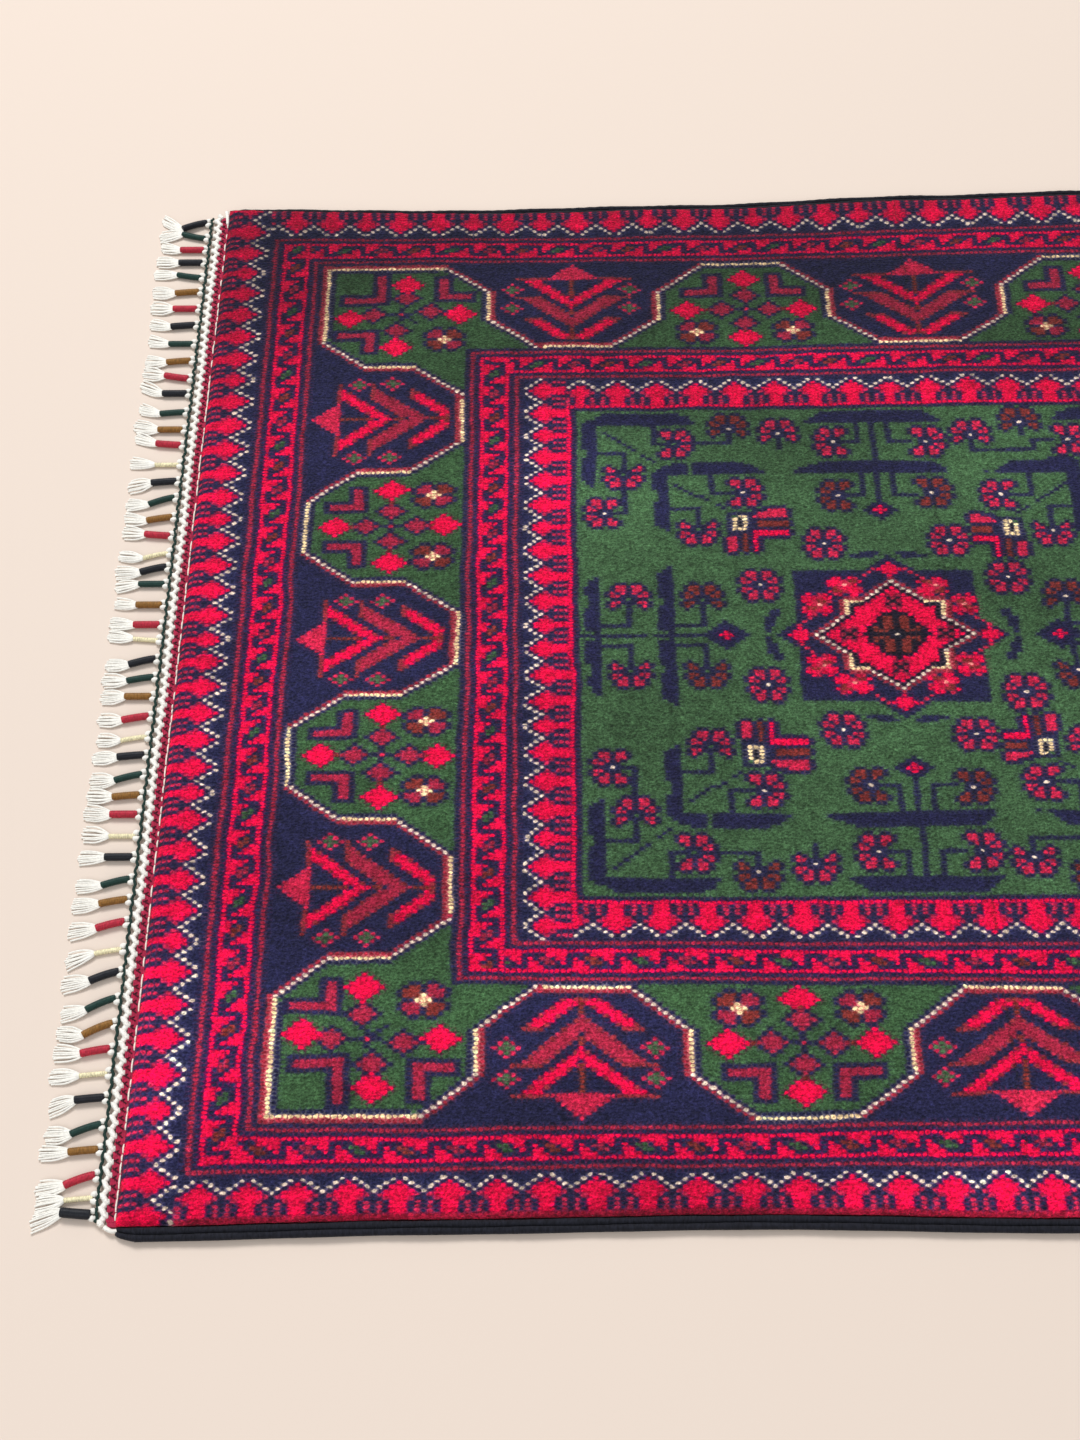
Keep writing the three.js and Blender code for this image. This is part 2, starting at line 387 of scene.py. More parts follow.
def palmette(tip):
    """The large half-palmette with its ivory ring, and its red and brown blades up to column tip."""
    chart = Chart(14, 16, 29, 34)
    chart.box("N", 30, 34, 36, 42)
    chart.rimmed("M", [(35, tip, 37, 37), (36, tip, 36, 36), (38, tip, 35, 35)])
    chart.rimmed("M", [(30, 31, 44, 48)])
    chart.rimmed("R", [(35, tip, 42, 43), (35, 35, 42, 48)])
    chart.rimmed("B", [(36, tip, 39, 40)])
    chart.box("N", 32, 34, 42, 49)
    chart.box("B", 33, 33, 43, 48)
    chart.box("I", 31, 33, 37, 41)
    chart.box("K", 32, 32, 38, 40)
    for col, row in ((31, 37), (29, 43), (29, 49), (32, 49), (34, 49), (36, 49)):
        chart.dot("F", col, row)
    for row in (34, 38, 41, 44):
        chart.dot("F", tip + 1, row)
    return chart


WIDE_FLOWER = ".MR.RR./RBBMRRR/.BMRRRM/RRMSMR./RRRMBBR/.RR.RM."
SLIM_FLOWER = ".M.RR./RBBMRR/.BMRRM/RMSMR./RRMBBR/.RR.M."
TALL_FLOWER = ".RM.R./RRMRRR/MBBMRR/.RMSM./RRMBBM/RRRMRR/.R.MR."
THIN_FLOWER = ".M.R./RRMRR/MBBRR/.MSM./RRBBM/RRMRR/.R.M."
SMALL_FLOWER = "D.D/KDK/DKD/KDK/D.D"
HEART_QUARTER = "KKK.../KBBK../KBBK../KBBKK./KBBKBK/KKBBBK/KKKKKK"
STAR_SIDES = (
    # side, edge of the square, middle of the end diamond, end tip, flowers and their first columns
    (-1, 18, 18, 22, WIDE_FLOWER, -12, TALL_FLOWER, -17),
    (1, 15, 17, 20, SLIM_FLOWER, 5, THIN_FLOWER, 11),
)
TIP_FLOWERS = (
    # way out to a tip by columns and rows, then the middle of its small flower
    (0, 1, 0, 10), (0, -1, 0, -10), (1, 0, 9, 0), (-1, 0, -9, 0),
)


def star_inside():
    """The knots inside the star's ivory line: a square with a point on each of its sides."""
    inside = set()
    for c in range(-14, 15):
        for r in range(-15, 16):
            a, b = abs(c), abs(r)
            square = a <= 8 and b <= 9
            cross_point = b >= 9 and a <= 5 and a + b <= 15
            long_point = a >= 8 and b <= 5 and a + b <= (14 if c < 0 else 13)
            if square or cross_point or long_point:
                inside.add((c, r))
    return inside


def star_ground(chart, col, row):
    """The navy square behind the star, with its points and the dashes beyond them."""
    for side, edge, heart, tip, *flowers in STAR_SIDES:
        chart.box("N", col, col + side * edge, row - 19, row + 19)
        for flank in (-1, 1):
            chart.box("N", col + flank * 2, col + flank * 5, row + side * 25, row + side * 25)
            chart.box("N", col + flank * 3, col + flank * 7, row + side * 24, row + side * 24)
            for k, (first, last) in enumerate(((6, 7), (3, 7), (1, 5))):
                dash = col + side * (tip + k)
                chart.box("N", dash, dash, row + flank * first, row + flank * last)
        for k in range(6):
            chart.box("N", col - k, col + k, row + side * (24 - k), row + side * (24 - k))
            chart.box("N", col + side * (tip - k), col + side * (tip - k), row - k, row + k)
    for side, edge, heart, tip, wide, wide_col, tall, tall_col in STAR_SIDES:
        chart.diamond("R", col, row + side * 20, 2)
        chart.diamond("R", col + side * heart, row, 2)
        for flank in (-1, 1):
            chart.line("M", col + side * 5, row + flank * 18, -side, flank, 3)
            chart.line("M", col + side * (heart - 2), row + flank * 5, side, -flank, 3)
            chart.figure(wide, col + wide_col, row + (12 if flank > 0 else -17), flip_cols=side > 0)
            chart.figure(tall, col + tall_col, row + flank * 9 - 3, flip_cols=side > 0)


def star(chart, col, row):
    """The star in the middle of a compartment."""
    star_ground(chart, col, row)
    inside = star_inside()
    ivory = around(inside) | {(9 * a, 10 * b) for a in (-1, 1) for b in (-1, 1)}
    outer = around(inside | ivory)
    rim = around(ivory) & inside
    for knots, yarn in ((outer, "O"), (inside, "R"), (rim, "K")):
        for c, r in knots:
            chart.dot(yarn, col + c, row + r)
    for c, r in ivory:
        chart.dot("I" if abs(c) >= 6 and abs(r) >= 6 else "W", col + c, row + r)
    for col_way, row_way, c, r in TIP_FLOWERS:
        chart.figure(SMALL_FLOWER, col + c - 1, row + r - 2)
        chart.dot("K", col + 6 * col_way, row + 7 * row_way)
    for side in (-1, 1):
        for flank in (-1, 1):
            for r, text in enumerate(HEART_QUARTER.split("/")):
                for c, letter in enumerate(text):
                    if letter != ".":
                        chart.dot(letter, col + side * c, row + flank * (6 - r))
    chart.dot("W", col, row)


# The pile's one-knot lines, by how many knots they lie in from its edge.
LINES = {
    "N": (9, 11, 18, 20, 52, 54, 61, 63),
    "D": (10, 19, 53, 62),
    "R": (12, 17, 55, 60),
}


def assemble():
    """The whole pile, as a grid of yarn codes by column along the rug and row across it."""
    rug = Chart(COLS, ROWS)
    rug.box("E", 0, COLS - 1, 0, ROWS - 1)
    rug.box("R", 0, COLS - 1, 1, ROWS - 2)
    col = np.arange(COLS)[:, None]
    row = np.arange(ROWS)[None, :]
    from_end = np.minimum(col, COLS - 1 - col) + 0 * row
    from_side = np.minimum(row, ROWS - 1 - row) - 1 + 0 * col
    for yarn, depths in LINES.items():
        rug.knots[np.isin(np.minimum(from_end, from_side), depths)] = CODE[yarn]
    lay_field(rug)
    lay_main_border(rug)
    for side, depth, first, point, pitch, outward in GUARD_BANDS:
        strip = guard_strip(band_length(side, first), point - first, pitch)
        lay_band(rug, side, depth, first, outward, strip)
    for side, depth, first, bar, pitch, yarns in CELL_BANDS:
        strip = cell_strip(band_length(side, first), bar - first, pitch, yarns)
        lay_band(rug, side, depth, first, side == "end", strip)
    return rug.knots


def lay_field(rug):
    """The green field: like compartments in a row, with a navy line about them all."""
    whole = Chart(2 * HALF + 1, 2 * MIDDLE + 1)
    for half in ("first", "second"):
        quarter = field_quarter(half)
        for flip_rows in (False, True):
            second = half == "second"
            whole.over(quarter, HALF if second else 0, MIDDLE if flip_rows else 0, second, flip_rows)
    star(whole, HALF, MIDDLE)
    for k in range(COMPARTMENTS):
        rug.over(whole, BORDER_COLS + 2 * HALF * k, BORDER_ROWS)
    last_col, last_row = COLS - 1 - BORDER_COLS, ROWS - 1 - BORDER_ROWS
    for row in (BORDER_ROWS, last_row):
        rug.box("N", BORDER_COLS, last_col, row, row)
    for col in (BORDER_COLS, last_col):
        rug.box("N", col, col, BORDER_ROWS, last_row)


def lay_main_border(rug):
    """The lobed main border: repeats along each side and end, and a lobe of its own in each corner."""
    repeat = main_border()
    long_side = Chart(COLS - 2 * MAIN_COL, MAIN_DEPTH, MAIN_COL)
    short_side = Chart(ROWS - 2 * MAIN_ROW, MAIN_DEPTH, MAIN_ROW)
    for k in range(-2, 13):
        shift = LOBE_PERIOD * k - LOBE_PERIOD // 2
        long_side.over(repeat, LOBE_COL + shift, 0)
        short_side.over(repeat, LOBE_ROW + shift, 0)
    end = Chart(MAIN_DEPTH, ROWS - 2 * MAIN_ROW)
    end.over(short_side, 0, 0, turned=True)
    corner = corner_lobe()
    square = Chart(MAIN_DEPTH, MAIN_DEPTH)
    square.box("N", 0, MAIN_DEPTH, 0, MAIN_DEPTH)
    for flip in (False, True):
        rug.over(end, COLS - MAIN_COL - MAIN_DEPTH if flip else MAIN_COL, MAIN_ROW, flip_cols=flip)
    for flip in (False, True):
        rug.over(long_side, MAIN_COL, ROWS - MAIN_ROW - MAIN_DEPTH if flip else MAIN_ROW, flip_rows=flip)
    for chart, cols, rows in ((square, MAIN_DEPTH, MAIN_DEPTH), (corner, CORNER_COLS, CORNER_ROWS)):
        for flip_cols in (False, True):
            for flip_rows in (False, True):
                col = COLS - MAIN_COL - cols if flip_cols else MAIN_COL
                row = ROWS - MAIN_ROW - rows if flip_rows else MAIN_ROW
                rug.over(chart, col, row, flip_cols, flip_rows)


GUARD = "NPNRRRNP/NPNRRRNP/NPNRRRNP/NNPRRRPN/NPRRRRRP/WNRRRRRN/NWNRRRNW/NNWNRNWN/NNNWNWNN"
GUARD_BANDS = (
    # side, depth of its outer knots, first knot, a point, pitch of the points, whether prongs face outward
    ("near", 1, 9, 16.0, 8.0, True),
    ("near", 65, 64, 92.0, 8.0, False),
    ("far", 1, 9, 10.2, 7.66, True),
    ("far", 65, 64, 95.2, 7.87, False),
    ("end", 0, 0, 4.9, 7.814, True),
    ("end", 64, 64, 79.0, 7.74, False),
)
CELL = "NNNNRRRR/NRNFFNRR/NRRNFFNR/NRRRNNNN"
CELL_BANDS = (
    # side, depth of its outer knots, first knot, a bar, pitch of the bars, yarns from that bar on
    ("near", 14, 18, 56.8, 7.86, "GBD"),
    ("near", 57, 61, 87.9, 8.08, "DBG"),
    ("far", 14, 18, 44.0, 7.7, "GDB"),
    ("far", 57, 61, 85.0, 7.7, "GDB"),
    ("end", 13, 14, 22.6, 7.782, "GDB"),
    ("end", 56, 57, 68.9, 7.78, "GBD"),
)


def guard_strip(length, first, pitch):
    """A guard border of lappets. Row 0 has the prongs, and its points are pitch knots apart."""
    lines = GUARD.split("/")
    strip = Chart(length, len(lines))
    for c in range(length):
        off = c - round(first + round((c - first) / pitch) * pitch)
        for t, text in enumerate(lines):
            strip.dot(text[off % 8], c, t)
    return strip


def cell_strip(length, bar, pitch, yarns):
    """A row of hooked cells. One cell's bar is at bar, and its yarn comes first in yarns."""
    lines = CELL.split("/")
    strip = Chart(length, len(lines))
    first = -int(bar // pitch) - 1
    bars = [round(bar + k * pitch) for k in range(first, first + int(length / pitch) + 3)]
    for k, (start, end) in enumerate(zip(bars, bars[1:])):
        for t, text in enumerate(lines):
            for off in range(end - start):
                letter = text[min(off, 7)]
                strip.dot(yarns[(k + first) % 3] if letter == "F" else letter, start + off, t)
    return strip


def band_length(side, first):
    """Knots along a band that starts first knots from the corner and ends as far from the other one."""
    return (ROWS if side == "end" else COLS) - 2 * first


def lay_band(rug, side, depth, first, outward, strip):
    """Lay a strip along a side, or along both ends. Its row 0 is the outer one, or else the inner one."""
    length, width = strip.knots.shape
    if side == "near":
        rug.over(strip, first, depth, flip_rows=not outward)
    elif side == "far":
        rug.over(strip, first, ROWS - depth - width, flip_rows=outward)
    else:
        end = Chart(width, length)
        end.over(strip, 0, 0, turned=True)
        rug.over(end, depth, first, flip_cols=not outward)
        rug.over(end, COLS - depth - width, first, flip_cols=outward)


# Where the knots lie, in mm from the left end of the pile

PILE_LENGTH = 2998.05
PILE_MIDDLE = PILE_LENGTH / 2
CORD_ROOM_NEAR = 8.5
CORD_ROOM_FAR = 6.3
EDGE_TABLE = (
    # along, near, far
    (0, -404.4, 390.0),
    (170, -401.4, 386.8),
    (340, -399.6, 390.8),
    (520, -402.8, 400.0),
    (640, -403.0, 404.4),
    (1100, -402.0, 401.0),
    (1700, -403.5, 402.0),
    (2400, -401.5, 398.0),
    (PILE_LENGTH, -400.0, 395.0),
)
COLUMN_STATIONS = (0, 100, 200, 299)
COLUMN_PLACES = (
    # column of knots, and its place along the rug at four rows
    (0, -3.2, -1.4, 0.5, 3.0),
    (12, 38.6, 41.5, 43.9, 46.0),
    (21, 69.4, 71.8, 73.9, 75.6),
    (37, 124.8, 125.4, 126.9, 129.2),
    (52, 176.2, 178.3, 179.6, 180.9),
    (64, 216.3, 219.3, 220.4, 221.4),
    (74, 249.8, 251.9, 252.5, 254.4),
    (94, 320.0, 320.4, 320.9, 323.1),
    (114, 390.9, 390.0, 389.5, 391.3),
    (134, 459.9, 459.0, 457.4, 458.1),
    (160, 549.5, 549.5, 549.5, 549.5),
    (795, 2746.0, 2746.0, 2746.0, 2746.0),
    (869, PILE_LENGTH + 3.2, PILE_LENGTH + 1.4, PILE_LENGTH - 0.5, PILE_LENGTH - 3.0),
)
ROW_STATIONS = (0, 130, 260, 390, 520, 700, PILE_LENGTH)
ROW_PLACES = (
    # row of knots, and its place across the rug at seven stations along it
    (10, -372.1, -370.1, -369.1, -368.9, -368.6, -370.0, -369.0),
    (22, -339.6, -338.9, -338.3, -338.2, -337.0, -338.0, -337.0),
    (37, -296.0, -296.8, -298.0, -298.8, -298.2, -298.0, -298.0),
    (53, -254.0, -253.3, -253.7, -254.8, -256.7, -255.0, -255.0),
    (75, -194.6, -195.3, -198.2, -199.7, -199.4, -199.0, -199.0),
    (100, -130.7, -129.9, -133.3, -134.8, -131.9, -133.0, -133.0),
    (125, -67.4, -66.5, -67.9, -69.9, -71.5, -69.0, -69.0),
    (149.5, -8.6, -7.2, -6.3, -5.9, -6.2, -6.0, -6.0),
    (175, 55.6, 57.3, 59.8, 61.6, 61.7, 61.0, 60.0),
    (200, 118.4, 121.4, 124.2, 125.5, 125.3, 126.0, 124.0),
    (224, 181.7, 185.5, 186.6, 187.6, 190.6, 191.0, 188.0),
    (246, 240.6, 243.5, 243.6, 244.2, 248.0, 250.0, 246.0),
    (262, 282.5, 285.7, 285.9, 286.7, 289.7, 292.0, 288.0),
    (277, 323.8, 325.3, 325.1, 326.5, 330.1, 335.0, 328.0),
    (289, 355.0, 354.6, 354.8, 357.7, 363.0, 368.0, 360.0),
)


END_STATIONS = (-396, -132, 124, 384)
END_FADE = 400
OVERHANG = 2.4
OVERHANG_FADE = 260
# How far the corners of knots stray, in mm: smoothly with their neighbours, then each by itself.
DRIFT_ALONG = 0.5
DRIFT_ACROSS = 0.4
JITTER_ALONG = 0.42
JITTER_ACROSS = 0.34
# How far below the pile's top they lie, in mm: at its rim, one knot in, and elsewhere.
RIM_DROP = 4.2
NEXT_DROP = 1.0
DROP = 0.25


def eased(share):
    """A share from 0 to 1 that starts and ends slowly."""
    return share * share * (3 - 2 * share)


def sunk(along):
    """How far the pile overhangs the far cord near the ends, where the photo shows almost none of it."""
    return OVERHANG * np.clip(1 - np.minimum(along, PILE_LENGTH - along) / OVERHANG_FADE, 0, 1)


def edge_at(along, side):
    """Outer edge of the side cord, in mm across, for side 1 near or 2 far."""
    along = np.asarray(along, float)
    stations = np.array([row[0] for row in EDGE_TABLE])
    places = np.array([row[side] for row in EDGE_TABLE])
    k = np.clip(np.searchsorted(stations, along) - 1, 0, len(stations) - 2)
    share = np.clip((along - stations[k]) / (stations[k + 1] - stations[k]), 0, 1)
    return places[k] + (places[k + 1] - places[k]) * eased(share)


def end_line(across):
    """How far inward the end of the pile lies, at places across the rug."""
    return np.interp(across, END_STATIONS, COLUMN_PLACES[0][1:])


def skewed(along, across):
    """Place along the rug from its middle, for edges that follow the slant of the pile's ends."""
    fade = np.clip(1 - along / END_FADE, 0, 1) - np.clip(1 - (PILE_LENGTH - along) / END_FADE, 0, 1)
    return along - PILE_MIDDLE + fade * end_line(across)


def soft_noise(rng, cols, rows, pitch):
    """Smooth random values about zero, one to a knot corner, that change over pitch knots."""
    values = rng.normal(size=(cols // pitch + 3, rows // pitch + 3))
    for count in (cols, rows):
        at = np.arange(count) / pitch
        low = at.astype(int)
        share = eased((at - low)[:, None])
        values = (values[low] * (1 - share) + values[low + 1] * share).T
    return values


def knot_corners(seed, height):
    """Places in mm of the corners of every knot, as three grids."""
    rng = np.random.default_rng(seed)
    shape = (COLS + 1, ROWS + 1)
    cols, rows = np.arange(COLS + 1), np.arange(ROWS + 1)
    table = np.array(COLUMN_PLACES)
    lines = np.array([np.interp(cols, table[:, 0], table[:, k]) for k in range(1, 5)])
    along = np.array([np.interp(rows, COLUMN_STATIONS, lines[:, c]) for c in cols])
    table = np.array(ROW_PLACES)
    middle = along[:, ROWS // 2]
    lines = np.array([edge_at(middle, 1) + CORD_ROOM_NEAR] +
                     [np.interp(middle, ROW_STATIONS, places) for places in table[:, 1:]] +
                     [edge_at(middle, 2) - CORD_ROOM_FAR + sunk(middle)])
    across = np.array([np.interp(rows, [0, *table[:, 0], ROWS], lines[:, c]) for c in cols])
    away = np.minimum(np.minimum(cols, COLS - cols)[:, None], np.minimum(rows, ROWS - rows)[None, :])
    free = np.clip(away / 2, 0.35, 1)
    along += free * (DRIFT_ALONG * soft_noise(rng, *shape, 9) + rng.normal(0, JITTER_ALONG, shape))
    across += free * (DRIFT_ACROSS * soft_noise(rng, *shape, 9) + rng.normal(0, JITTER_ACROSS, shape))
    up = np.select([away == 0, away == 1], [height - RIM_DROP, height - NEXT_DROP], height - DROP)
    up = up + 0.15 * soft_noise(rng, *shape, 12) + np.clip(rng.normal(0, 0.22, shape), -0.4, 0.4)
    return along - PILE_MIDDLE, across, np.minimum(up, height + 0.3)


# Materials

def shader_base(name, roughness, sheen=0.0):
    """A plain matt material, with its nodes, its links and its surface node."""
    material = bpy.data.materials.new(name)
    material.use_nodes = True
    nodes = material.node_tree.nodes
    surface = nodes["Principled BSDF"]
    surface.inputs["Roughness"].default_value = roughness
    surface.inputs["Specular IOR Level"].default_value = 0.15
    surface.inputs["Sheen Weight"].default_value = sheen
    surface.inputs["Sheen Roughness"].default_value = 0.5
    return material, nodes, material.node_tree.links, surface


def add_node(nodes, kind, values):
    """A new node with some of its inputs set."""
    node = nodes.new(f"ShaderNode{kind}")
    for name, value in values.items():
        node.inputs[name].default_value = value
    return node


def linear(colour):
    """The light values of a colour given by its display values."""
    return tuple(v / 12.92 if v <= 0.04 else ((v + 0.055) / 1.055) ** 2.4 for v in colour) + (1.0,)


def add_bump(nodes, links, surface, height, distance):
    """Let a surface look uneven by a height up to a distance in metres."""
    bump = add_node(nodes, "Bump", {"Strength": 0.8, "Distance": distance})
    links.new(height, bump.inputs["Height"])
    links.new(bump.outputs["Normal"], surface.inputs["Normal"])


def noise(nodes, links, scale, detail=2.0, stretch=(1, 1, 1)):
    """Uneven grain with scale waves to the metre, or more along an axis that is stretched."""
    place = nodes.new("ShaderNodeTexCoord")
    mapping = add_node(nodes, "Mapping", {"Scale": stretch})
    grain = add_node(nodes, "TexNoise", {"Scale": scale, "Detail": detail})
    links.new(place.outputs["Object"], mapping.inputs["Vector"])
    links.new(mapping.outputs["Vector"], grain.inputs["Vector"])
    return grain.outputs["Fac"]


def add_mix(nodes):
    """A node that mixes two colours. Its inputs 0, 6 and 7 are the share and the colours."""
    mix = nodes.new("ShaderNodeMix")
    mix.data_type = "RGBA"
    return mix


def shade_by(nodes, links, factor, colour, low, high):
    """A colour multiplied by a brightness that follows a factor."""
    level = add_node(nodes, "MapRange", {"From Min": 0.3, "From Max": 0.7, "To Min": low, "To Max": high})
    mix = add_mix(nodes)
    mix.blend_type = "MULTIPLY"
    mix.inputs[0].default_value = 1.0
    links.new(factor, level.inputs["Value"])
    if isinstance(colour, tuple):
        mix.inputs[6].default_value = colour
    else:
        links.new(colour, mix.inputs[6])
    links.new(level.outputs["Result"], mix.inputs[7])
    return mix.outputs[2]


def painted(nodes, name):
    """A colour painted on the mesh."""
    node = nodes.new("ShaderNodeAttribute")
    node.attribute_name = name
    return node.outputs["Color"]


def vector_node(nodes, operation, *values):
    """A node that works on vectors, with the inputs after its first one set."""
    node = nodes.new("ShaderNodeVectorMath")
    node.operation = operation
    for k, value in enumerate(values):
        node.inputs[k + 1].default_value = value
    return node


def tuft_mask(nodes, links, unevenness):
    """One in the middle of a knot, falling to nothing at its uneven rim."""
    place = nodes.new("ShaderNodeUVMap")
    place.uv_map = "Knot"
    shift = vector_node(nodes, "MULTIPLY_ADD", (0.42, 0.42, 0.0), (-0.71, -0.71, 0.0))
    centred = vector_node(nodes, "ADD")
    distance = vector_node(nodes, "LENGTH")
    level = add_node(nodes, "MapRange", {"From Min": 0.26, "From Max": 0.54, "To Min": 1.0, "To Max": 0.0})
    level.interpolation_type = "SMOOTHSTEP"
    links.new(unevenness, shift.inputs[0])
    links.new(place.outputs["UV"], centred.inputs[0])
    links.new(shift.outputs["Vector"], centred.inputs[1])
    links.new(centred.outputs["Vector"], distance.inputs[0])
    links.new(distance.outputs["Value"], level.inputs["Value"])
    return level.outputs["Result"]


def pile_wool():
    """Each knot is a tuft of its own yarn, and at its rim the yarns around it mingle."""
    material, nodes, links, surface = shader_base("pile_wool", roughness=0.95, sheen=0.03)
    tufts = noise(nodes, links, scale=560.0, detail=1.0, stretch=(0.8, 1.15, 1))
    fibres = noise(nodes, links, scale=950.0)
    mingled = add_mix(nodes)
    links.new(tuft_mask(nodes, links, tufts.node.outputs["Color"]), mingled.inputs[0])
    links.new(painted(nodes, "Around"), mingled.inputs[6])
    links.new(painted(nodes, "Yarn"), mingled.inputs[7])
    shaded = shade_by(nodes, links, tufts, mingled.outputs[2], low=0.6, high=1.38)
    shaded = shade_by(nodes, links, fibres, shaded, low=0.6, high=1.44)
    links.new(shaded, surface.inputs["Base Color"])
    add_bump(nodes, links, surface, tufts, distance=0.0026)
    return material


def spun_yarn(name, colour, scale=900.0, stretch=(1, 1, 1), low=0.8, high=1.12, bump=0.0004, roughness=0.8):
    """Yarn of one colour, whose grain shades it from low to high and stands out by bump metres."""
    material, nodes, links, surface = shader_base(name, roughness, sheen=0.05)
    grain = noise(nodes, links, scale, stretch=stretch)
    links.new(shade_by(nodes, links, grain, linear(colour), low, high), surface.inputs["Base Color"])
    add_bump(nodes, links, surface, grain, bump)
    return material


# Making pieces

def deselect():
    """Leave edit mode and select nothing."""
    if bpy.context.object and bpy.context.object.mode != "OBJECT":
        bpy.ops.object.mode_set(mode="OBJECT")
    bpy.ops.object.select_all(action="DESELECT")


def read(items, name, kind=np.int32, width=1):
    """One value, or width values, of each vertex, face or loop."""
    values = np.empty(len(items) * width, kind)
    items.foreach_get(name, values)
    return values.reshape(-1, width) if width > 1 else values


def points_of(mesh):
    """Places of a mesh's points."""
    return read(mesh.vertices, "co", np.float32, 3)


def move_points(mesh, points):
    """Put a mesh's points at new places, in metres."""
    mesh.vertices.foreach_set("co", np.ascontiguousarray(points, np.float32).ravel())
    mesh.update()


def face_outward():
    """Turn the faces of the active mesh outward."""
    bpy.ops.object.mode_set(mode="EDIT")
    bpy.ops.mesh.select_all(action="SELECT")
    bpy.ops.mesh.normals_make_consistent(inside=False)
    bpy.ops.object.mode_set(mode="OBJECT")


def finish_piece(piece, slot, *nodes):
    """Tie a piece to the rug, and hide the nodes of the solids that it stands for. Its slot is not used."""
    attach(piece, "root")
    if nodes:
        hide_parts(*nodes)
    return piece


def yarn_piece(name, runs, sides, material):
    """Yarns as round strands. Each run is a list of (x, y, z, radius) in mm."""
    curve = bpy.data.curves.new(name, "CURVE")
    curve.dimensions = "3D"
    curve.bevel_depth = MM
    curve.bevel_resolution = sides // 2 - 2
    curve.use_fill_caps = True
    curve.resolution_u = 1
    for run in runs:
        spline = curve.splines.new("POLY")
        run = np.asarray(run, float)
        spline.points.add(len(run) - 1)
        spline.points.foreach_set("co", np.c_[run[:, :3] * MM, np.ones(len(run))].ravel())
        spline.points.foreach_set("radius", run[:, 3])
    piece = bpy.data.objects.new(name, curve)
    bpy.context.scene.collection.objects.link(piece)
    deselect()
    piece.select_set(True)
    bpy.context.view_layer.objects.active = piece
    bpy.ops.object.convert(target="MESH")
    piece = bpy.context.object
    piece.data.materials.clear()
    piece.data.materials.append(material)
    bpy.ops.object.shade_smooth()
    return piece


def joined(pieces, name):
    """The pieces as one, with a new name."""
    deselect()
    for piece in pieces:
        piece.select_set(True)
    bpy.context.view_layer.objects.active = pieces[0]
    bpy.ops.object.join()
    pieces[0].name = name
    pieces[0].data.name = name
    return pieces[0]


# The pile is cut into as many sections along the rug, so that none has too many faces.
SECTIONS = 6
PILE_FOOT = 2.0


def grid_piece(name, cols, rows):
    """A flat square of one metre, cut into faces by columns and rows."""
    deselect()
    bpy.ops.mesh.primitive_grid_add(x_subdivisions=cols, y_subdivisions=rows, size=1.0)
    piece = bpy.context.object
    piece.name = name
    piece.data.name = name
    return piece


def close_rim():
    """Close the active mesh with one face along its open rim."""
    bpy.ops.object.mode_set(mode="EDIT")
    bpy.ops.mesh.select_mode(type="EDGE")
    bpy.ops.mesh.select_all(action="DESELECT")
    bpy.ops.mesh.select_non_manifold()
    bpy.ops.mesh.edge_face_add()
    bpy.ops.object.mode_set(mode="OBJECT")


def paint(mesh, name, colours):
    """Paint the corners of a mesh's faces."""
    layer = mesh.color_attributes.new(name, "BYTE_COLOR", "CORNER")
    values = np.c_[colours, np.ones(len(colours))].astype(np.float32)
    layer.data.foreach_set("color_srgb", values.ravel())


def mingled_colours(colours):
    """The mix, at each corner of knots, of the four that meet there."""
    padded = np.log(np.pad(colours, ((1, 1), (1, 1), (0, 0)), mode="edge"))
    return np.exp((padded[1:, 1:] + padded[:-1, 1:] + padded[1:, :-1] + padded[:-1, :-1]) / 4)


def map_knots(mesh, points, ends, totals):
    """Lay the faces out as seen from above, for baking, and then each knot as a square of its own."""
    plan = points[ends][:, :2]
    low, high = points.min(0)[:2], points.max(0)[:2]
    plan = (plan - low) / (high - low) * (0.96, 1.0)
    under = np.repeat(totals > 4, totals)
    plan[under] = plan[under] * (0.03, 0.03) + (0.965, 0)
    layout = mesh.uv_layers[0] if mesh.uv_layers else mesh.uv_layers.new()
    layout.name = "OFBake"
    layout.uv.foreach_set("vector", plan.astype(np.float32).ravel())
    turn = (np.arange(len(ends)) - np.repeat(read(mesh.polygons, "loop_start"), totals)) % 4
    within = np.c_[(turn == 1) | (turn == 2), turn >= 2].astype(np.float32)
    mesh.uv_layers.new(name="Knot").uv.foreach_set("vector", within.ravel())


